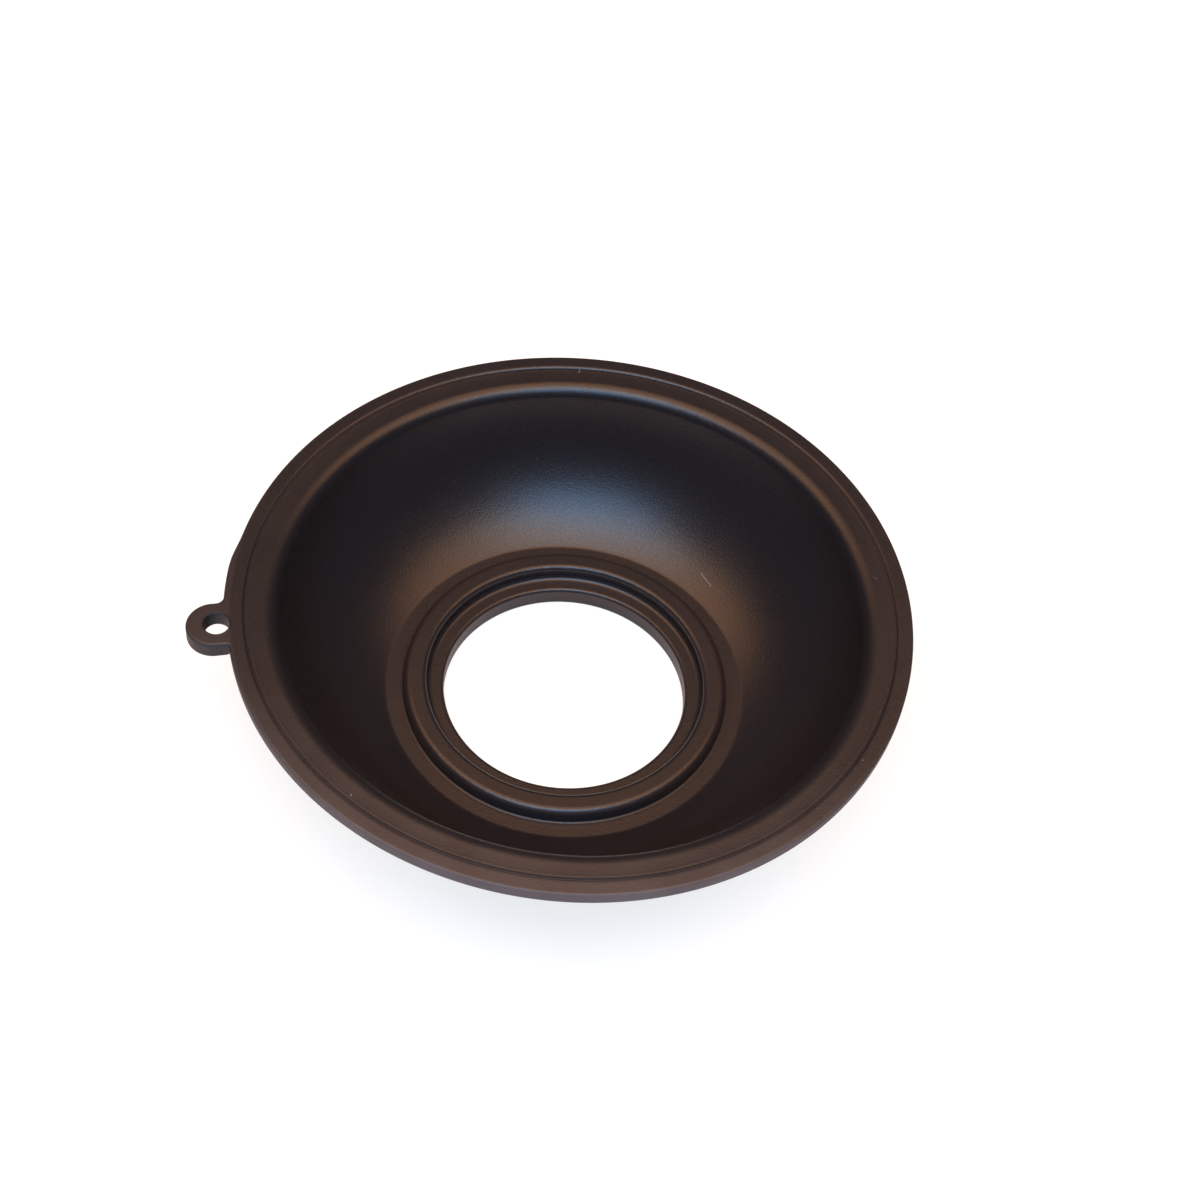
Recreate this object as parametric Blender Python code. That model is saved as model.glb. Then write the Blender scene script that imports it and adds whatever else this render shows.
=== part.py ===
# Carburettor diaphragm: one moulded rubber membrane with a flat rim, a deep bowl, a beaded hub and an ear.
# It stands on its hub, bowl opening upwards. The Z axis is the turning axis and Z = 0 is the hub's underside.
# All lengths are in metres; the sizes below are written in millimetres times MM.

from math import asin, atan2, cos, degrees, hypot, pi, radians, sin, sqrt

import bmesh
import bpy
from mathutils import Matrix, Vector

MM = 0.001

# Whole part
HEIGHT = 19.6 * MM            # underside of the hub to the top of the rim
MEMBRANE = 0.8 * MM           # wall of the bowl

# Rim that the cover clamps
RIM_RADIUS = 40.0 * MM
RIM_WIDTH = 4.3 * MM          # flat top, from the outer edge to where it rolls into the bowl
RIM_THICKNESS = 2.3 * MM
EDGE_ROUND = 0.5 * MM         # rim's upper outer edge and the edges of the ear
UNDER_ROUND = 1.2 * MM        # rim's lower outer edge
LIP_ROUND = 1.8 * MM          # roll from the rim's flat top into the bowl
BOWL_TOP_SLOPE = 80.0         # degrees, steepness of the bowl's wall where it leaves the roll
RIM_FILLET = 0.8 * MM         # under the rim, against the outside of the bowl
GROOVE_INSET = 2.1 * MM       # fine witness groove, from the rim's outer edge
GROOVE_WIDTH = 0.36 * MM
GROOVE_DEPTH = 0.12 * MM

# Hub, from the hole outwards
HOLE_RADIUS = 14.8 * MM
LEDGE_WIDTH = 2.1 * MM
BEAD_WIDTH = 2.8 * MM
LAND_WIDTH = 2.2 * MM         # flat between the bead and the foot of the bowl
HUB_THICKNESS = 2.6 * MM      # under the ledge and the land
BEAD_HEIGHT = 1.9 * MM
BEAD_ROUND = 0.6 * MM
BEAD_FILLET = 0.3 * MM
HOLE_ROUND = 0.45 * MM        # where the ledge turns down into the hole
HUB_ROUND = 0.4 * MM          # the lower edges of the hole and of the foot
HUB_FILLET = 0.8 * MM         # outside of the hub, against the underside of the bowl

# Ear with its locating hole, on the -X side
EAR_REACH = 4.65 * MM         # beyond the rim's outer edge
EAR_WIDTH = 6.0 * MM
EAR_OVERLAP = 1.4 * MM        # how far the ear is let into the rim
EAR_STEP = 0.03 * MM          # the ear's faces lie this little below the rim's top and above its underside
EAR_FILLET = 1.0 * MM         # between the ear's +Y side and its shoulder
EAR_SINK = 0.1 * MM           # how far that fillet runs into the shoulder
EAR_HOLE_RADIUS = 1.5 * MM
EAR_HOLE_OUT = 1.15 * MM      # centre of the hole beyond the rim's outer edge
SHOULDER_RISE = 0.4 * MM      # the rim is this much wider beside the ear, on its +Y side
SHOULDER_FULL = 12.5          # degrees from the ear's middle to where the shoulder starts to fade
SHOULDER_END = 19.5           # degrees from the ear's middle to where it meets the rim

# Facets
TURN_STEPS = 72               # around the axis
ROUND_STEPS = 3               # in each small round or fillet
UNDER_STEPS = 4               # in the round under the rim's edge
LIP_STEPS = 5
BOWL_STEPS = 9
EAR_STEPS = 12                # around the ear's tip
FILLET_STEPS = 4              # between the ear and its shoulder
ROOT_STEPS = 4                # along the ear's root
EAR_HOLE_STEPS = 24
SHARP_ANGLE = 35.0            # degrees between faces, above which an edge stays sharp
MERGE_DISTANCE = 0.001 * MM   # points closer than this are one

# Rubber
RUBBER_COLOUR = (0.014, 0.012, 0.012, 1.0)
RUBBER_ROUGHNESS = 0.35

# Dependent sizes
EAR_DIRECTION = pi
RIM_UNDER = HEIGHT - RIM_THICKNESS
LIP_RADIUS = RIM_RADIUS - RIM_WIDTH
GROOVE_RADIUS = RIM_RADIUS - GROOVE_INSET
BEAD_INNER = HOLE_RADIUS + LEDGE_WIDTH
BEAD_OUTER = BEAD_INNER + BEAD_WIDTH
BEAD_TOP = HUB_THICKNESS + BEAD_HEIGHT
LAND_RADIUS = BEAD_OUTER + LAND_WIDTH
EAR_HALF = EAR_WIDTH / 2
EAR_TIP_CENTRE = RIM_RADIUS + EAR_REACH - EAR_HALF
EAR_INNER_RADIUS = RIM_RADIUS - EAR_OVERLAP
SHOULDER_RADIUS = RIM_RADIUS + SHOULDER_RISE


def clear_scene():
    for thing in list(bpy.data.objects):
        bpy.data.objects.remove(thing, do_unlink=True)


def rubber():
    material = bpy.data.materials.new("rubber")
    material.use_nodes = True
    shader = material.node_tree.nodes["Principled BSDF"]
    shader.inputs["Base Color"].default_value = RUBBER_COLOUR
    shader.inputs["Roughness"].default_value = RUBBER_ROUGHNESS
    shader.inputs["Metallic"].default_value = 0.0
    return material


def arc(centre, radius, start, end, steps):
    """Points on an arc in a plane, from one angle to another, in degrees from the plane's first axis."""
    points = []
    for step in range(steps + 1):
        angle = radians(start + (end - start) * step / steps)
        points.append((centre[0] + radius * cos(angle), centre[1] + radius * sin(angle)))
    return points


def bowl_arc():
    """The bowl's inner face: an arc that leaves the lip's roll tangentially and ends on the land's edge."""
    top_slope = radians(BOWL_TOP_SLOPE)
    top = (LIP_RADIUS - LIP_ROUND * sin(top_slope), HEIGHT - LIP_ROUND + LIP_ROUND * cos(top_slope))
    across = top[0] - LAND_RADIUS
    up = top[1] - HUB_THICKNESS
    chord_slope = atan2(up, across)
    foot_slope = 2 * chord_slope - top_slope
    radius = hypot(across, up) / (2 * sin(top_slope - chord_slope))
    centre = (LAND_RADIUS - radius * sin(foot_slope), HUB_THICKNESS + radius * cos(foot_slope))
    return centre, radius, degrees(foot_slope)


def slope_at(centre, point):
    """Angle from +X of a point seen from the bowl's centre, in degrees."""
    return degrees(atan2(point[1] - centre[1], point[0] - centre[0]))


def rim_top_points():
    """From the rim's outer edge over the groove and down the roll to the bowl."""
    groove_half = GROOVE_WIDTH / 2
    points = arc((RIM_RADIUS - EDGE_ROUND, HEIGHT - EDGE_ROUND), EDGE_ROUND, 0, 90, ROUND_STEPS)
    points.append((GROOVE_RADIUS + groove_half, HEIGHT))
    points.append((GROOVE_RADIUS, HEIGHT - GROOVE_DEPTH))
    points.append((GROOVE_RADIUS - groove_half, HEIGHT))
    lip_centre = (LIP_RADIUS, HEIGHT - LIP_ROUND)
    points += arc(lip_centre, LIP_ROUND, 90, 90 + BOWL_TOP_SLOPE, LIP_STEPS)
    return points


def hub_points():
    """From the land's inner end over the bead and the ledge, down the hole and out to the foot's edge."""
    fillet = min(BEAD_FILLET, BEAD_HEIGHT / 2)
    crest = min(BEAD_ROUND, BEAD_WIDTH / 2, BEAD_HEIGHT - fillet)
    lip = min(HOLE_ROUND, HUB_THICKNESS / 2, LEDGE_WIDTH / 2)
    foot = min(HUB_ROUND, HUB_THICKNESS / 2)
    hub_side, side_top = hub_side_fillet()[:2]
    points = arc((BEAD_OUTER + fillet, HUB_THICKNESS + fillet), fillet, 270, 180, ROUND_STEPS)
    points += arc((BEAD_OUTER - crest, BEAD_TOP - crest), crest, 0, 90, ROUND_STEPS)
    points += arc((BEAD_INNER + crest, BEAD_TOP - crest), crest, 90, 180, ROUND_STEPS)
    points += arc((BEAD_INNER - fillet, HUB_THICKNESS + fillet), fillet, 0, -90, ROUND_STEPS)
    points += arc((HOLE_RADIUS + lip, HUB_THICKNESS - lip), lip, 90, 180, ROUND_STEPS)
    points += arc((HOLE_RADIUS + foot, foot), foot, 180, 270, ROUND_STEPS)
    outer = min(foot, side_top)
    points += arc((hub_side - outer, outer), outer, 270, 360, ROUND_STEPS)
    return points


def hub_side_fillet():
    """The hub's outer side, straight below the bowl's foot, and the fillet that joins it to the bowl."""
    centre, radius, foot_slope = bowl_arc()
    outside = radius + MEMBRANE
    side = LAND_RADIUS + MEMBRANE * sin(radians(foot_slope))
    fillet_r = side + HUB_FILLET
    fillet_z = centre[1] - sqrt((outside + HUB_FILLET) ** 2 - (fillet_r - centre[0]) ** 2)
    return side, fillet_z, (fillet_r, fillet_z)


def rim_fillet_centre():
    """The round between the bowl's outside and the rim's underside touches both."""
    centre, radius = bowl_arc()[:2]
    reach = radius + MEMBRANE + RIM_FILLET
    fillet_z = RIM_UNDER - RIM_FILLET
    return centre[0] + sqrt(reach ** 2 - (centre[1] - fillet_z) ** 2), fillet_z


def underside_points():
    """From the hub's side up the outside of the bowl and out along the rim's underside."""
    centre, radius = bowl_arc()[:2]
    outside = radius + MEMBRANE
    low_centre = hub_side_fillet()[2]
    high_centre = rim_fillet_centre()
    low = slope_at(centre, low_centre)
    high = slope_at(centre, high_centre)
    points = arc(low_centre, HUB_FILLET, 180, 180 + low, ROUND_STEPS)
    points += arc(centre, outside, low, high, BOWL_STEPS)[1:]
    points += arc(high_centre, RIM_FILLET, 180 + high, 90, ROUND_STEPS)[1:]
    under = min(UNDER_ROUND, RIM_THICKNESS - EDGE_ROUND)
    points += arc((RIM_RADIUS - under, RIM_UNDER + under), under, 270, 360, UNDER_STEPS)
    return points


def section():
    """The whole section as a closed loop of (radius, height), starting at the rim's outer edge."""
    centre, radius, foot_slope = bowl_arc()
    points = rim_top_points()
    points += arc(centre, radius, BOWL_TOP_SLOPE - 90, foot_slope - 90, BOWL_STEPS)[1:]
    points += hub_points()
    points += underside_points()
    return points


def turned(name, points):
    """Spin a closed section about Z."""
    mesh = bpy.data.meshes.new(name)
    work = bmesh.new()
    corners = [work.verts.new((r, 0.0, z)) for r, z in points]
    edges = [work.edges.new((corners[i - 1], corners[i])) for i in range(len(corners))]
    bmesh.ops.spin(work, geom=corners + edges, cent=(0, 0, 0), axis=(0, 0, 1),
                   angle=2 * pi, steps=TURN_STEPS, use_merge=True)
    bmesh.ops.remove_doubles(work, verts=work.verts, dist=MERGE_DISTANCE)
    bmesh.ops.recalc_face_normals(work, faces=work.faces)
    work.to_mesh(mesh)
    work.free()
    made = bpy.data.objects.new(name, mesh)
    bpy.context.collection.objects.link(made)
    return made


def polar(radius, angle):
    return radius * cos(angle), radius * sin(angle)


def shoulder_share(offset):
    """How much of the shoulder there is at so many degrees from the ear's middle, on the ear's +Y side."""
    if offset <= 0 or offset >= SHOULDER_END:
        return 0.0
    return min(1.0, (SHOULDER_END - offset) / (SHOULDER_END - SHOULDER_FULL))


def widen_beside_ear(mesh):
    """Move the rim's outer edge out where the shoulder is."""
    for vert in mesh.vertices:
        if vert.co.xy.length > EAR_INNER_RADIUS:
            offset = degrees(EAR_DIRECTION - atan2(vert.co.y, vert.co.x))
            scale = 1 + SHOULDER_RISE * shoulder_share(offset) / vert.co.xy.length
            vert.co.x *= scale
            vert.co.y *= scale


def ear_outline():
    """The ear seen from above, clockwise from its -Y side, with its root inside the rim."""
    tip_arc = arc((-EAR_TIP_CENTRE, 0.0), EAR_HALF, 270, 90, EAR_STEPS)
    meets = SHOULDER_RADIUS - EAR_SINK
    fillet_y = EAR_HALF + EAR_FILLET
    fillet_x = -sqrt((meets + EAR_FILLET) ** 2 - fillet_y ** 2)
    fillet_end = atan2(fillet_y, fillet_x)
    to_axis = degrees(fillet_end) - 180
    fillet_arc = arc((fillet_x, fillet_y), EAR_FILLET, 270, 360 + to_axis, FILLET_STEPS)
    root_end = EAR_DIRECTION + asin(EAR_HALF / EAR_INNER_RADIUS)
    turn = (root_end - fillet_end) / ROOT_STEPS
    root = [polar(EAR_INNER_RADIUS, fillet_end + turn * step) for step in range(ROOT_STEPS + 1)]
    return tip_arc + fillet_arc + root


def ear_plate():
    """A plate nearly as thick as the rim, let into its outer edge, with its exposed edges rounded."""
    mesh = bpy.data.meshes.new("ear_plate")
    work = bmesh.new()
    thickness = RIM_THICKNESS - 2 * EAR_STEP
    outline = [work.verts.new((x, y, RIM_UNDER + EAR_STEP)) for x, y in ear_outline()]
    base = work.faces.new(outline)
    raised = bmesh.ops.extrude_face_region(work, geom=[base])
    lifted = [item for item in raised["geom"] if isinstance(item, bmesh.types.BMVert)]
    bmesh.ops.translate(work, vec=Vector((0, 0, thickness)), verts=lifted)
    bmesh.ops.recalc_face_normals(work, faces=work.faces)
    level = [edge for edge in work.edges if abs(edge.verts[0].co.z - edge.verts[1].co.z) < thickness / 2]
    exposed = [edge for edge in level if max(vert.co.xy.length for vert in edge.verts) > RIM_RADIUS]
    bmesh.ops.bevel(work, geom=exposed, offset=EDGE_ROUND, offset_type="OFFSET",
                    segments=ROUND_STEPS, profile=0.5, affect="EDGES", clamp_overlap=True)
    work.to_mesh(mesh)
    work.free()
    return tool("ear_plate", mesh)


def ear_hole_cutter():
    mesh = bpy.data.meshes.new("ear_hole_cutter")
    work = bmesh.new()
    place = Matrix.Translation((-(RIM_RADIUS + EAR_HOLE_OUT), 0, (HEIGHT + RIM_UNDER) / 2))
    bmesh.ops.create_cone(work, cap_ends=True, segments=EAR_HOLE_STEPS, radius1=EAR_HOLE_RADIUS,
                          radius2=EAR_HOLE_RADIUS, depth=2 * RIM_THICKNESS, matrix=place)
    work.to_mesh(mesh)
    work.free()
    return tool("ear_hole_cutter", mesh)


def tool(name, mesh):
    made = bpy.data.objects.new(name, mesh)
    bpy.context.collection.objects.link(made)
    made.hide_render = True
    made.display_type = "WIRE"
    return made


def combine(target, other, operation):
    modifier = target.modifiers.new(other.name, "BOOLEAN")
    modifier.operation = operation
    modifier.object = other
    modifier.solver = "EXACT"


def main():
    clear_scene()
    diaphragm = turned("diaphragm", section())
    widen_beside_ear(diaphragm.data)
    combine(diaphragm, ear_plate(), "UNION")
    combine(diaphragm, ear_hole_cutter(), "DIFFERENCE")
    diaphragm.data.materials.append(rubber())
    diaphragm.data.shade_smooth()
    diaphragm.data.set_sharp_from_angle(angle=radians(SHARP_ANGLE))


main()
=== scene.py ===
from math import atan2, cos, degrees, hypot, pi, radians, sin, sqrt

import bmesh
import bpy
from mathutils import Matrix, Vector


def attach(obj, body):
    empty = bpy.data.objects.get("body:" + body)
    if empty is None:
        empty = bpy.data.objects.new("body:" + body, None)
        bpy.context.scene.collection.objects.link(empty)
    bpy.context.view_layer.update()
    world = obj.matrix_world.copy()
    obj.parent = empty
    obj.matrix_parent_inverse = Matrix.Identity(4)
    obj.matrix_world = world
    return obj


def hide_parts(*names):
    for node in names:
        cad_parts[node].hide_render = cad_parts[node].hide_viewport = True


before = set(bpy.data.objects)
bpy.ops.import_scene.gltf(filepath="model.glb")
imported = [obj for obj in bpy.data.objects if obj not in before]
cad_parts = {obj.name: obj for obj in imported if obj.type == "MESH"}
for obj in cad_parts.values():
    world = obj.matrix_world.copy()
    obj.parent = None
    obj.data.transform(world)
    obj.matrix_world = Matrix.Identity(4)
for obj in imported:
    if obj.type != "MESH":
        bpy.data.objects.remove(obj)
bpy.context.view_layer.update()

mm = 0.001

# Moulded rubber diaphragm, bowl upwards, standing on its hub. Z is the turning axis.
# Sizes in millimetres.
diaphragm = {
    "height": 19.6,            # foot of the hub to the top of the rim
    "wall": 0.8,
    "rimRadius": 40.0,
    "rimWidth": 4.3,
    "rimThickness": 2.3,
    "edgeRound": 0.36,         # rim's upper outer edge
    "underRound": 1.2,         # rim's lower outer edge
    "lipRound": 1.8,           # roll from the rim's flat top into the bowl
    "lipSlope": 80.0,          # degrees, where the bowl leaves the roll
    "rimFillet": 0.8,
    "grooveInset": 2.1,
    # fine groove round the rim with a faint raised lip on its inner side,
    # as (distance out from the groove, height)
    "groove": [(0.40, 0.0), (0.33, -0.012), (0.26, -0.045), (0.19, -0.095), (0.12, -0.16),
               (-0.03, -0.17), (-0.05, 0.014), (-0.35, 0.016), (-0.39, 0.015), (-0.43, 0.010),
               (-0.48, 0.003), (-0.52, 0.0)],
    "holeRadius": 14.8,
    "ledgeWidth": 2.1,
    "beadWidth": 2.8,
    "landWidth": 2.2,
    "hubThickness": 2.6,
    "beadHeight": 1.9,
    "beadRound": 0.65,         # bead's inner edge
    "beadOuterRound": 0.85,
    "beadFillet": 0.3,
    "beadInnerFillet": 0.6,
    "holeRound": 0.45,         # where the ledge turns down into the hole
    "hubRound": 0.4,
    "hubFillet": 0.8,
    "creaseRound": 0.8,        # where the bowl meets the flat land
    "support": 0.06,           # narrow row beside each round, so the flats shade flat
    "wallRows": (0.1, 0.5, 0.9),             # shares of the height of the rim's outer wall
    "roundSteps": 9,           # in the rim's outer rounds
    "lipSteps": 18,
    "creaseSteps": 4,
    "filletSteps": 6,          # in the hub's fillets and lower rounds
    "crestSteps": 8,           # in the bead's rounds and under the rim
    "holeRoundSteps": 10,
    "turnSteps": 232,
    "bowlSteps": 48,
    "mergeDistance": 0.0005,
    "sharpAngle": 28,          # degrees
}

# The ear with its locating hole, and the shoulder on one side of it. Millimetres and degrees.
ear = {
    "reach": 4.65,
    "width": 6.26,
    "aside": -0.08,            # the ear's middle line, off the part's axis
    "edgeRound": 0.35,
    "roundsBlend": 0.5,        # length over which the rim's rounds become the ear's
    "shoulderFillet": 1.0,
    "plainFillet": 0.25,
    "holeRadius": 1.5,
    "holeOut": 1.15,
    "holeEdge": 0.14,
    "shoulderRise": 0.4,
    "shoulderFull": 12.5,
    "shoulderEnd": 19.5,
    "rootRadius": 38.6,        # ring of the rim from which the ear's rows run out
    "shoulderSteps": 12,
    "tipSteps": 36,
    "plainSteps": 6,
    "holeSteps": 64,
    "holeTurn": 0.37,          # share of a step that turns the hole's points off the rim's rows
    "holePast": 0.6,           # how far the cutting tool stands past both faces
}

# How far the soft rim stands off its plane, in millimetres, as (turns round the rim, cosine, sine).
rimWarp = {
    "waves": [(1, -0.126, -0.515), (2, 0.025, 0.347), (3, 0.123, 0.062)],
    "startsAt": 22.0,          # radius where the bowl begins to give
    "fullAt": 36.0,
}

# The mouth of the bowl lies a little out of true with the rim. Millimetres and degrees.
mouthDrift = {
    "wider": 0.20,
    "aside": 0.20,
    "turn": -75,
    "radii": (24.0, 35.0, 36.2, 37.3),       # begins, full from, full to, ends
}

# In the functions below d, e, w and m are these four: diaphragm, ear, rimWarp and mouthDrift.


def arcPoints(centre, radius, start, end, steps):
    points = []
    for step in range(steps + 1):
        angle = radians(start + (end - start) * step / steps)
        points.append((centre[0] + radius * cos(angle), centre[1] + radius * sin(angle)))
    return points


def bowlCircle(d):
    slope = radians(d["lipSlope"])
    lipRadius = d["rimRadius"] - d["rimWidth"]
    landRadius = d["holeRadius"] + d["ledgeWidth"] + d["beadWidth"] + d["landWidth"]
    topR = lipRadius - d["lipRound"] * sin(slope)
    topZ = d["height"] - d["lipRound"] + d["lipRound"] * cos(slope)
    across = topR - landRadius
    up = topZ - d["hubThickness"]
    chord = atan2(up, across)
    footSlope = 2 * chord - slope
    radius = hypot(across, up) / (2 * sin(slope - chord))
    centre = (landRadius - radius * sin(footSlope), d["hubThickness"] + radius * cos(footSlope))
    return centre, radius, footSlope, landRadius


def angleSeen(centre, point):
    return degrees(atan2(point[1] - centre[1], point[0] - centre[0]))


def sectionRows(d, e):
    # each row is ("turned", radius, z), ("wall", share of its height, 0)
    # or ("top" or "under", angle in the round, extra inset)
    top = d["height"]
    under = top - d["rimThickness"]
    land = d["hubThickness"]
    keep = d["support"]
    centre, radius, footSlope, landRadius = bowlCircle(d)
    lipRadius = d["rimRadius"] - d["rimWidth"]
    groove = d["rimRadius"] - d["grooveInset"]
    beadInner = d["holeRadius"] + d["ledgeWidth"]
    beadOuter = beadInner + d["beadWidth"]
    beadTop = land + d["beadHeight"]

    rows = [("wall", share, 0.0) for share in d["wallRows"]]
    rows += [("top", 180 - 90 * step / d["roundSteps"], 0.0) for step in range(d["roundSteps"] + 1)]
    rows.append(("top", 90, keep))

    turned = [(e["rootRadius"], top)]
    turned += [(groove + out, top + up) for out, up in d["groove"]]
    turned.append((lipRadius + keep, top))
    lipCentre = (lipRadius, top - d["lipRound"])
    turned += arcPoints(lipCentre, d["lipRound"], 90, 90 + d["lipSlope"], d["lipSteps"])

    # the bowl's inner face, down to the small round at its foot
    crease = d["creaseRound"]
    creaseZ = land + crease
    creaseR = centre[0] + sqrt((radius - crease) ** 2 - (centre[1] - creaseZ) ** 2)
    low = angleSeen(centre, (creaseR, creaseZ))
    turned += arcPoints(centre, radius, d["lipSlope"] - 90, low, d["bowlSteps"])[1:]
    turned += arcPoints((creaseR, creaseZ), crease, low, -90, d["creaseSteps"])[1:]
    turned.append((creaseR - keep, land))

    # land, bead, ledge and hole
    fillet, inner = d["beadFillet"], d["beadInnerFillet"]
    crest, brim, lip, foot = d["beadRound"], d["beadOuterRound"], d["holeRound"], d["hubRound"]
    fine, medium, lipFine = d["filletSteps"], d["crestSteps"], d["holeRoundSteps"]
    turned.append((beadOuter + fillet + keep, land))
    turned += arcPoints((beadOuter + fillet, land + fillet), fillet, 270, 180, fine)
    turned += arcPoints((beadOuter - brim, beadTop - brim), brim, 0, 90, medium)
    turned += [(beadOuter - brim - keep, beadTop), (beadInner + crest + keep, beadTop)]
    turned += arcPoints((beadInner + crest, beadTop - crest), crest, 90, 180, medium)
    turned += arcPoints((beadInner - inner, land + inner), inner, 0, -90, medium)
    turned += [(beadInner - inner - keep, land), (d["holeRadius"] + lip + keep, land)]
    turned += arcPoints((d["holeRadius"] + lip, land - lip), lip, 90, 180, lipFine)
    turned += [(d["holeRadius"], land - lip - keep), (d["holeRadius"], foot + keep)]
    turned += arcPoints((d["holeRadius"] + foot, foot), foot, 180, 270, fine)
    turned.append((d["holeRadius"] + foot + keep, 0.0))

    # foot, hub's side and the outside of the bowl
    outside = radius + d["wall"]
    side = landRadius + d["wall"] * sin(footSlope)
    turned.append((side - foot - keep, 0.0))
    turned += arcPoints((side - foot, foot), foot, 270, 360, fine)
    lowR = side + d["hubFillet"]
    lowZ = centre[1] - sqrt((outside + d["hubFillet"]) ** 2 - (lowR - centre[0]) ** 2)
    highZ = under - d["rimFillet"]
    highR = centre[0] + sqrt((outside + d["rimFillet"]) ** 2 - (centre[1] - highZ) ** 2)
    start = angleSeen(centre, (lowR, lowZ))
    end = angleSeen(centre, (highR, highZ))
    turned += arcPoints((lowR, lowZ), d["hubFillet"], 180, 180 + start, fine)
    turned += arcPoints(centre, outside, start, end, d["bowlSteps"])[1:]
    turned += arcPoints((highR, highZ), d["rimFillet"], 180 + end, 90, medium)[1:]
    turned += [(highR + keep, under), (e["rootRadius"], under)]

    rows += [("turned", r, z) for r, z in turned]
    rows.append(("under", 270, keep))
    rows += [("under", 270 - 90 * step / d["roundSteps"], 0.0) for step in range(d["roundSteps"] + 1)]
    return rows


def fade(share):
    share = min(max(share, 0.0), 1.0)
    return share * share * (3 - 2 * share)


def earOutline(d, e):
    # points of the outer edge of rim and ear seen from above, anticlockwise, each as
    # (x, y, normal x, normal y, angle of its column, upper round, lower round)
    rim = d["rimRadius"]
    half = e["width"] / 2
    middle = e["aside"]
    tip = -(rim + e["reach"] - half)
    shoulder = rim + e["shoulderRise"]
    upR, downR = e["shoulderFillet"], e["plainFillet"]
    upCentre = (-sqrt((shoulder + upR) ** 2 - (middle + half + upR) ** 2), middle + half + upR)
    downCentre = (-sqrt((rim + downR) ** 2 - (middle - half - downR) ** 2), middle - half - downR)
    upAngle = degrees(atan2(upCentre[1], upCentre[0]))
    downAngle = degrees(atan2(downCentre[1], downCentre[0])) + 360

    outline = []
    steps = d["turnSteps"]
    span = 360 - (downAngle - upAngle)
    for step in range(steps):
        angle = downAngle + span * (step + 0.5) / steps
        offset = 180 - (angle - 360 if angle > 360 else angle)       # degrees from the ear's middle
        rise = 0.0
        if 0 < offset < e["shoulderEnd"]:
            rise = fade((e["shoulderEnd"] - offset) / (e["shoulderEnd"] - e["shoulderFull"]))
        r = rim + e["shoulderRise"] * rise
        a = radians(angle)
        outline.append((r * cos(a), r * sin(a), cos(a), sin(a), a, d["edgeRound"], d["underRound"]))

    bend = arcWithNormal(upCentre, upR, upAngle - 180, -90, e["shoulderSteps"], -1)
    bend += arcWithNormal((tip, middle), half, 90, 270, e["tipSteps"], 1)
    bend += arcWithNormal(downCentre, downR, 90, downAngle - 180, e["plainSteps"], -1)
    lengths = [0.0]
    for (one, _), (two, _) in zip(bend, bend[1:]):
        lengths.append(lengths[-1] + hypot(two[0] - one[0], two[1] - one[1]))
    for (point, normal), length in zip(bend, lengths):
        a = radians(upAngle + 360 + (downAngle - upAngle) * length / lengths[-1])
        inEar = fade(min(length, lengths[-1] - length) / e["roundsBlend"])
        upperRound = d["edgeRound"] + (e["edgeRound"] - d["edgeRound"]) * inEar
        lowerRound = d["underRound"] + (e["edgeRound"] - d["underRound"]) * inEar
        outline.append((point[0], point[1], normal[0], normal[1], a, upperRound, lowerRound))
    return outline


def arcWithNormal(centre, radius, start, end, steps, side):
    made = []
    for step in range(steps + 1):
        angle = radians(start + (end - start) * step / steps)
        point = (centre[0] + radius * cos(angle), centre[1] + radius * sin(angle))
        made.append((point, (side * cos(angle), side * sin(angle))))
    return made


def warpAt(x, y, w):
    r = hypot(x, y)
    angle = atan2(y, x)
    lift = sum(c * cos(n * angle) + s * sin(n * angle) for n, c, s in w["waves"])
    return lift * fade((r - w["startsAt"]) / (w["fullAt"] - w["startsAt"]))


def driftAt(r, angle, m):
    begins, fullFrom, fullTo, ends = m["radii"]
    share = fade((r - begins) / (fullFrom - begins)) * fade((ends - r) / (ends - fullTo))
    return share * (m["wider"] + m["aside"] * cos(angle - radians(m["turn"])))


def rowPoint(row, column, d, w, m):
    kind, first, second = row
    x, y, nx, ny, a, upperRound, lowerRound = column
    top = d["height"]
    under = top - d["rimThickness"]
    if kind == "turned":
        r = first + driftAt(first, a, m)
        px, py, z = r * cos(a), r * sin(a), second
    elif kind == "wall":
        px, py = x, y
        z = under + lowerRound + (top - upperRound - under - lowerRound) * first
    else:
        edge = upperRound if kind == "top" else lowerRound
        inset = edge * (1 + cos(radians(first))) + second
        px, py = x - nx * inset, y - ny * inset
        z = (top - edge if kind == "top" else under + edge) + edge * sin(radians(first))
    return px * mm, py * mm, (z + warpAt(px, py, w)) * mm


def buildDiaphragm(d, e, w, m):
    rows = sectionRows(d, e)
    outline = earOutline(d, e)
    work = bmesh.new()
    grid = [[work.verts.new(rowPoint(row, column, d, w, m)) for column in outline] for row in rows]
    count = len(outline)
    for i in range(len(grid)):
        upper, lower = grid[i], grid[(i + 1) % len(grid)]
        for j in range(count):
            k = (j + 1) % count
            work.faces.new((upper[j], lower[j], lower[k], upper[k]))
    bmesh.ops.remove_doubles(work, verts=work.verts, dist=d["mergeDistance"] * mm)
    bmesh.ops.recalc_face_normals(work, faces=work.faces)
    mesh = bpy.data.meshes.new("rubberDiaphragm")
    work.to_mesh(mesh)
    work.free()
    piece = bpy.data.objects.new("rubberDiaphragm", mesh)
    bpy.context.collection.objects.link(piece)
    return piece


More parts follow.
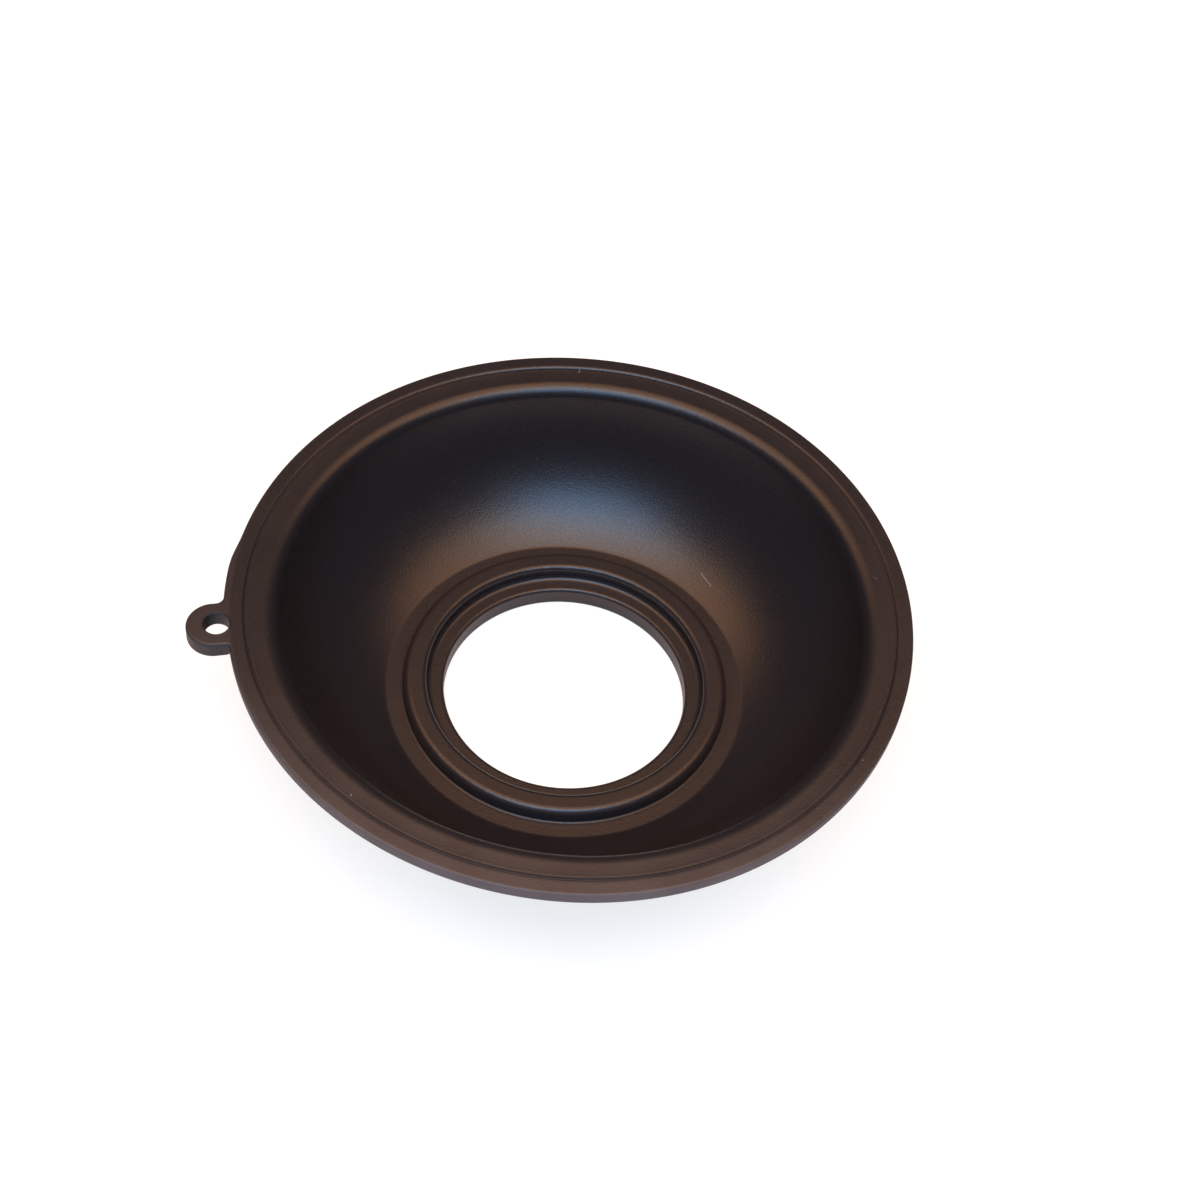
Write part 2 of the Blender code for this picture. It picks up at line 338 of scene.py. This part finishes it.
def earHoleTool(d, e, w):
    # a spool: straight through the ear, with a slight lead at both faces
    middle = -(d["rimRadius"] + e["holeOut"])
    top = d["height"] + warpAt(middle, 0.0, w)
    under = top - d["rimThickness"]
    r, lead, past = e["holeRadius"], e["holeEdge"], e["holePast"]
    outline = [(r + lead + past, top + past), (r, top - lead),
               (r, under + lead), (r + lead + past, under - past)]
    steps = e["holeSteps"]
    work = bmesh.new()
    rings = []
    for radius, z in outline:
        ring = []
        for step in range(steps):
            a = 2 * pi * (step + e["holeTurn"]) / steps
            x, y = middle + radius * cos(a), radius * sin(a)
            ring.append(work.verts.new((x * mm, y * mm, z * mm)))
        rings.append(ring)
    for upper, lower in zip(rings, rings[1:]):
        for j in range(steps):
            k = (j + 1) % steps
            work.faces.new((upper[j], lower[j], lower[k], upper[k]))
    work.faces.new(rings[0])
    work.faces.new(list(reversed(rings[-1])))
    bmesh.ops.recalc_face_normals(work, faces=work.faces)
    mesh = bpy.data.meshes.new("earHoleTool")
    work.to_mesh(mesh)
    work.free()
    tool = bpy.data.objects.new("earHoleTool", mesh)
    bpy.context.collection.objects.link(tool)
    return tool


def cutEarHole(piece, tool):
    cut = piece.modifiers.new("earHole", "BOOLEAN")
    cut.operation = "DIFFERENCE"
    cut.solver = "EXACT"
    cut.object = tool
    bpy.context.view_layer.update()
    graph = bpy.context.evaluated_depsgraph_get()
    done = bpy.data.meshes.new_from_object(piece.evaluated_get(graph))
    piece.modifiers.clear()
    piece.data = done
    bpy.data.objects.remove(tool, do_unlink=True)


rubberPiece = buildDiaphragm(diaphragm, ear, rimWarp, mouthDrift)
cutEarHole(rubberPiece, earHoleTool(diaphragm, ear, rimWarp))
rubberPiece.data.shade_smooth()
rubberPiece.data.set_sharp_from_angle(angle=radians(diaphragm["sharpAngle"]))
print("diaphragm:", len(rubberPiece.data.vertices), "points,", len(rubberPiece.data.polygons), "faces")


# Black moulded rubber with a half-gloss skin, a painted sheen on the rim that is lighter
# towards the camera's side, a few dust specks and fine marks. Lengths in millimetres.
rubber = {
    "colour": (0.012, 0.0103, 0.0122, 1.0),
    "roughness": 0.35,
    "cloudSize": 7.0,          # patches where the skin is a little duller
    "cloudDetail": 3.0,
    "cloudRoughness": 0.07,
    "grainSize": 0.28,         # fine grain of the mould's surface
    "grainDetail": 2.0,
    "grainRoughness": 0.18,
    "grainDepth": 0.020,
    "rippleSize": 2.6,         # slow unevenness of the soft skin
    "rippleDetail": 1.0,
    "rippleDepth": 0.006,
    # pale tint shared by the dust grains, specks and marks and by the painted sheen
    "dustAndSheenColour": (0.41, 0.36, 0.36, 1.0),
    "dustAndSheenRoughness": 0.75,
    # painted sheen by radius, as (radius where a share begins, radius where it is full, share)
    "paintedSheen": [(35.4, 36.4, 0.055), (37.7, 38.4, 0.040), (39.6, 40.0, 0.17)],
    "paintedSheenHeight": (-3.2, -2.6),              # from the rim's top: where the painted sheen begins and is full
    "paintedSheenTurn": -105,          # degrees about the axis, the camera's side of the rim, with the most painted sheen
    # distances towards that side with the least and the full painted sheen, and the least share
    "paintedSheenSide": (8.0, 40.0, 0.05),
    "paintedSheenPatches": (0.75, 1.1),              # least and greatest share where the skin is clouded
    "cloudRange": (0.3, 0.7),
    # handled dull at the rim's edge: radius where it begins, where it is full, roughness added
    "scuff": (39.4, 39.9, 0.16),
    # dull at the bowl's mouth on the side with the painted sheen: full up to this radius, none beyond,
    # roughness added
    "mouthDull": (35.5, 36.3, 0.16),
    "strewn": 0.5,             # strength of the tiny grains strewn over the whole part
    "strewnCell": 1.1,
    "strewnSize": 0.05,
    "strewnRarity": (0.45, 0.95),            # cells below the first share have none, above the other all
    # shares of a grain's, a speck's and a mark's half width that have the full strength
    "strewnCore": 0.5,
    "speckCore": 0.4,
    "markCore": 0.3,
}

# Specks as (turn about the axis in degrees, radius, height, size, strength)
specks = [
    (-24.7, 37.90, 19.6, 0.13, 0.5),
    (-40.3, 38.55, 19.6, 0.11, 0.4),
    (-137.7, 37.27, 19.6, 0.16, 0.35),
]
# Fine marks as (turn, radius, height) at both ends, width and strength
marks = [
    ((81.4, 37.15, 19.6), (81.2, 38.15, 19.6), 0.08, 0.28),
    ((37.7, 24.54, 4.02), (32.5, 24.18, 3.80), 0.09, 0.32),
    ((1.2, 35.9, 19.5), (0.4, 36.6, 19.6), 0.10, 0.15),
]


def onPart(turn, radius, z):
    a = radians(turn)
    x, y = radius * cos(a), radius * sin(a)
    return Vector((x * mm, y * mm, (z + warpAt(x, y, rimWarp)) * mm))


class NodeBench:
    # short names for the nodes the rubber is made of
    def __init__(self, material):
        self.nodes, self.links = material.node_tree.nodes, material.node_tree.links

    def put(self, socket, value):
        if isinstance(value, bpy.types.NodeSocket):
            self.links.new(value, socket)
        else:
            socket.default_value = value

    def maths(self, operation, first, second=0.0):
        node = self.nodes.new("ShaderNodeMath")
        node.operation = operation
        self.put(node.inputs[0], first)
        self.put(node.inputs[1], second)
        return node.outputs[0]

    def vector(self, operation, first, second=(0.0, 0.0, 0.0), result=0):
        node = self.nodes.new("ShaderNodeVectorMath")
        node.operation = operation
        self.put(node.inputs[0], first)
        if operation == "SCALE":
            self.put(node.inputs["Scale"], second)
        else:
            self.put(node.inputs[1], second)
        return node.outputs[result]

    def ramp(self, value, low, high, lowTo=0.0, highTo=1.0):
        node = self.nodes.new("ShaderNodeMapRange")
        node.interpolation_type = "SMOOTHSTEP"
        for name, number in (("Value", value), ("From Min", low), ("From Max", high),
                             ("To Min", lowTo), ("To Max", highTo)):
            self.put(node.inputs[name], number)
        return node.outputs["Result"]

    def noise(self, place, size, detail):
        node = self.nodes.new("ShaderNodeTexNoise")
        self.put(node.inputs["Vector"], place)
        self.put(node.inputs["Scale"], 1 / (size * mm))
        self.put(node.inputs["Detail"], detail)
        return node.outputs["Fac"]

    def bump(self, height, depth, normal=None):
        node = self.nodes.new("ShaderNodeBump")
        self.put(node.inputs["Distance"], depth * mm)
        self.put(node.inputs["Height"], height)
        if normal is not None:
            self.put(node.inputs["Normal"], normal)
        return node.outputs["Normal"]


def makeRubber(look):
    material = bpy.data.materials.new("mouldedRubber")
    material.use_nodes = True
    bench = NodeBench(material)
    shader = bench.nodes["Principled BSDF"]
    place = bench.nodes.new("ShaderNodeTexCoord").outputs["Object"]

    cloud = bench.noise(place, look["cloudSize"], look["cloudDetail"])
    grain = bench.noise(place, look["grainSize"], look["grainDetail"])
    ripple = bench.noise(place, look["rippleSize"], look["rippleDetail"])

    # painted sheen on the rim: a lighter tint, more towards the outer edge and to the camera's side
    flat = bench.vector("MULTIPLY", place, (1.0, 1.0, 0.0))
    radius = bench.vector("LENGTH", flat, result=1)
    height = bench.vector("DOT_PRODUCT", place, (0.0, 0.0, 1.0), result=1)
    side = radians(look["paintedSheenTurn"])
    facing = bench.vector("DOT_PRODUCT", place, (cos(side), sin(side), 0.0), result=1)
    paintedSheen = 0.0
    for start, full, share in look["paintedSheen"]:
        paintedSheen = bench.maths("ADD", bench.ramp(radius, start * mm, full * mm, 0.0, share), paintedSheen)
    begins, full = [(diaphragm["height"] + up) * mm for up in look["paintedSheenHeight"]]
    onRim = bench.ramp(height, begins, full)
    least, full, share = look["paintedSheenSide"]
    toSide = bench.ramp(facing, least * mm, full * mm, share, 1.0)
    patchy = bench.ramp(cloud, *look["cloudRange"], *look["paintedSheenPatches"])
    for share in (onRim, toSide, patchy):
        paintedSheen = bench.maths("MULTIPLY", share, paintedSheen)

    # grains strewn thinly everywhere
    strewn = bench.nodes.new("ShaderNodeTexVoronoi")
    bench.put(strewn.inputs["Vector"], place)
    bench.put(strewn.inputs["Scale"], 1 / (look["strewnCell"] * mm))
    reach = look["strewnSize"] / look["strewnCell"]
    core = reach * look["strewnCore"]
    grainsHere = bench.ramp(strewn.outputs["Distance"], core, reach, 1.0, 0.0)
    few = bench.vector("DOT_PRODUCT", strewn.outputs["Color"], (1.0, 0.0, 0.0), result=1)
    few = bench.ramp(few, *look["strewnRarity"], 0.0, look["strewn"])
    dustAndSheen = bench.maths("MULTIPLY", grainsHere, few)
    # the strewn dust grains plus the painted sheen on the rim
    dustAndSheen = bench.maths("ADD", dustAndSheen, paintedSheen)

    for turn, r, z, size, strength in specks:
        away = bench.vector("DISTANCE", place, onPart(turn, r, z), result=1)
        spot = bench.ramp(away, size * look["speckCore"] * mm, size * mm, strength, 0.0)
        dustAndSheen = bench.maths("MAXIMUM", dustAndSheen, spot)
    for one, two, width, strength in marks:
        start, end = onPart(*one), onPart(*two)
        along = end - start
        fromStart = bench.vector("SUBTRACT", place, start)
        share = bench.vector("DOT_PRODUCT", fromStart, along / along.length_squared, result=1)
        share = bench.maths("MINIMUM", bench.maths("MAXIMUM", share, 0.0), 1.0)
        nearest = bench.vector("SCALE", along, share)
        away = bench.vector("DISTANCE", fromStart, nearest, result=1)
        line = bench.ramp(away, width * look["markCore"] * mm, width * mm, strength, 0.0)
        dustAndSheen = bench.maths("MAXIMUM", dustAndSheen, line)

    tint = bench.nodes.new("ShaderNodeMix")
    tint.data_type = "RGBA"
    bench.put(tint.inputs["Factor"], dustAndSheen)
    bench.put(tint.inputs["A"], look["colour"])
    bench.put(tint.inputs["B"], look["dustAndSheenColour"])
    bench.put(shader.inputs["Base Color"], tint.outputs["Result"])

    rough = look["roughness"] - look["cloudRoughness"] / 2 - look["grainRoughness"] / 2
    for pattern, amount in ((cloud, look["cloudRoughness"]), (grain, look["grainRoughness"]),
                            (dustAndSheen, look["dustAndSheenRoughness"] - look["roughness"])):
        rough = bench.maths("ADD", rough, bench.maths("MULTIPLY", pattern, amount))
    start, full, duller = look["scuff"]
    rough = bench.maths("ADD", rough, bench.ramp(radius, start * mm, full * mm, 0.0, duller))
    full, ends, duller = look["mouthDull"]
    atMouth = bench.maths("MULTIPLY", bench.ramp(radius, full * mm, ends * mm, duller, 0.0), onRim)
    rough = bench.maths("ADD", rough, bench.maths("MULTIPLY", atMouth, toSide))
    bench.put(shader.inputs["Roughness"], rough)

    soft = bench.bump(ripple, look["rippleDepth"])
    bench.put(shader.inputs["Normal"], bench.bump(grain, look["grainDepth"], soft))
    return material


rubberPiece.data.materials.clear()
rubberPiece.data.materials.append(makeRubber(rubber))
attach(rubberPiece, "root")
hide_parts("diaphragm")
print("rubber skin: done")


# Pale floor, seen white by the camera and still taking the shadow
floorLook = {
    "size": 3.0,               # metres
    "colour": (0.80, 0.80, 0.80, 1.0),
    "roughness": 0.9,
    "seenColour": (0.34, 0.34, 0.34, 1.0),
    "seenGlow": (0.77, 0.757, 0.735, 1.0),
    "plainWhite": (1.0, 1.0, 1.0, 1.0),
    "whiteFrom": 0.10,         # metres from the part, where the seen floor begins to turn plain white
    "whiteTo": 0.28,
}


def makeFloor(look):
    half = look["size"] / 2
    mesh = bpy.data.meshes.new("floor")
    corners = [(-half, -half, 0), (half, -half, 0), (half, half, 0), (-half, half, 0)]
    mesh.from_pydata(corners, [], [(0, 1, 2, 3)])
    floor = bpy.data.objects.new("floor", mesh)
    bpy.context.collection.objects.link(floor)
    material = bpy.data.materials.new("paleFloor")
    material.use_nodes = True
    nodes, links = material.node_tree.nodes, material.node_tree.links
    # one face lights the part from below; the other is what the camera sees, white but for the shadow
    lit = nodes["Principled BSDF"]
    lit.inputs["Base Color"].default_value = look["colour"]
    lit.inputs["Roughness"].default_value = look["roughness"]
    seen = nodes.new("ShaderNodeBsdfDiffuse")
    seen.inputs["Color"].default_value = look["seenColour"]
    glow = nodes.new("ShaderNodeEmission")
    glow.inputs["Color"].default_value = look["seenGlow"]
    both = nodes.new("ShaderNodeAddShader")
    links.new(seen.outputs["BSDF"], both.inputs[0])
    links.new(glow.outputs["Emission"], both.inputs[1])
    white = nodes.new("ShaderNodeEmission")
    white.inputs["Color"].default_value = look["plainWhite"]
    place = nodes.new("ShaderNodeTexCoord")
    away = nodes.new("ShaderNodeVectorMath")
    away.operation = "LENGTH"
    links.new(place.outputs["Object"], away.inputs[0])
    far = nodes.new("ShaderNodeMapRange")
    far.inputs["From Min"].default_value = look["whiteFrom"]
    far.inputs["From Max"].default_value = look["whiteTo"]
    links.new(away.outputs["Value"], far.inputs["Value"])
    shown = nodes.new("ShaderNodeMixShader")
    links.new(far.outputs["Result"], shown.inputs["Fac"])
    links.new(both.outputs["Shader"], shown.inputs[1])
    links.new(white.outputs["Emission"], shown.inputs[2])
    rays = nodes.new("ShaderNodeLightPath")
    choose = nodes.new("ShaderNodeMixShader")
    links.new(rays.outputs["Is Camera Ray"], choose.inputs["Fac"])
    links.new(lit.outputs["BSDF"], choose.inputs[1])
    links.new(shown.outputs["Shader"], choose.inputs[2])
    links.new(choose.outputs["Shader"], nodes["Material Output"].inputs["Surface"])
    mesh.materials.append(material)
    return floor


floor = makeFloor(floorLook)
print("floor: done")


# Soft boxes: tilt from overhead and turn from the camera's side, both in degrees, sizes in metres
warmSoftbox = {"tilt": 8, "turn": 200, "distance": 1.0, "wide": 2.0, "deep": 0.75,
               "power": 14.4, "colour": (1.0, 0.48, 0.218)}
coolSoftbox = {"tilt": 32, "turn": -2, "distance": 1.1, "wide": 0.85, "deep": 0.50,
               "power": 8.4, "colour": (0.29, 0.575, 1.0)}
whiteSoftbox = {"tilt": 17, "turn": -4, "distance": 1.1, "wide": 1.3, "deep": 0.35,
                "power": 5.95, "colour": (1.0, 0.847, 0.683)}
room = {"colour": (0.33, 0.78, 1.0, 1.0), "strength": 0.076, "seenColour": (1.0, 1.0, 1.0, 1.0)}
cameraSide = 257.8            # degrees about Z from +X, the side the camera stands on


def makeLamp(name, look):
    light = bpy.data.lights.new(name, "AREA")
    light.shape = "RECTANGLE"
    light.size = look["wide"]
    light.size_y = look["deep"]
    light.energy = look["power"]
    light.color = look["colour"]
    lamp = bpy.data.objects.new(name, light)
    bpy.context.collection.objects.link(lamp)
    tilt, turn = radians(look["tilt"]), radians(cameraSide + look["turn"])
    away = Vector((sin(tilt) * cos(turn), sin(tilt) * sin(turn), cos(tilt)))
    across = Vector((-sin(radians(cameraSide)), cos(radians(cameraSide)), 0))
    across = (across - away * across.dot(away)).normalized()
    facing = Matrix((across, away.cross(across), away)).transposed().to_4x4()
    lamp.matrix_world = Matrix.Translation(away * look["distance"]) @ facing


def makeRoom(look):
    world = bpy.data.worlds.new("room")
    bpy.context.scene.world = world
    world.use_nodes = True
    nodes, links = world.node_tree.nodes, world.node_tree.links
    nodes.clear()
    rays = nodes.new("ShaderNodeLightPath")
    seen = nodes.new("ShaderNodeBackground")
    lit = nodes.new("ShaderNodeBackground")
    lit.inputs["Color"].default_value = look["colour"]
    lit.inputs["Strength"].default_value = look["strength"]
    choose = nodes.new("ShaderNodeMixShader")
    out = nodes.new("ShaderNodeOutputWorld")
    seen.inputs["Color"].default_value = look["seenColour"]
    links.new(rays.outputs["Is Camera Ray"], choose.inputs["Fac"])
    links.new(lit.outputs["Background"], choose.inputs[1])
    links.new(seen.outputs["Background"], choose.inputs[2])
    links.new(choose.outputs["Shader"], out.inputs["Surface"])


makeLamp("warmSoftbox", warmSoftbox)
makeLamp("coolSoftbox", coolSoftbox)
makeLamp("whiteSoftbox", whiteSoftbox)
makeRoom(room)
print("light: done")


# The photograph's point of view: place in millimetres, the picture's own right and forward directions
view = {
    "place": (-33.50, -154.94, 221.39),
    "right": (0.98777, -0.13738, 0.07381),
    "forward": (0.14245, 0.60225, -0.78550),
    "lens": 66.0,
    "sensor": 36.0,
    "nearest": 0.005,          # metres
}


def makeCamera(look):
    data = bpy.data.cameras.new("photoView")
    data.lens = look["lens"]
    data.sensor_width = look["sensor"]
    data.clip_start = look["nearest"]
    camera = bpy.data.objects.new("photoView", data)
    bpy.context.collection.objects.link(camera)
    forward = Vector(look["forward"]).normalized()
    right = Vector(look["right"])
    right = (right - forward * right.dot(forward)).normalized()
    up = right.cross(forward)
    turn = Matrix((right, up, -forward)).transposed().to_4x4()
    camera.matrix_world = Matrix.Translation(Vector(look["place"]) * mm) @ turn
    bpy.context.scene.camera = camera


makeCamera(view)
bpy.context.scene.view_settings.view_transform = "Standard"
print("camera: done")
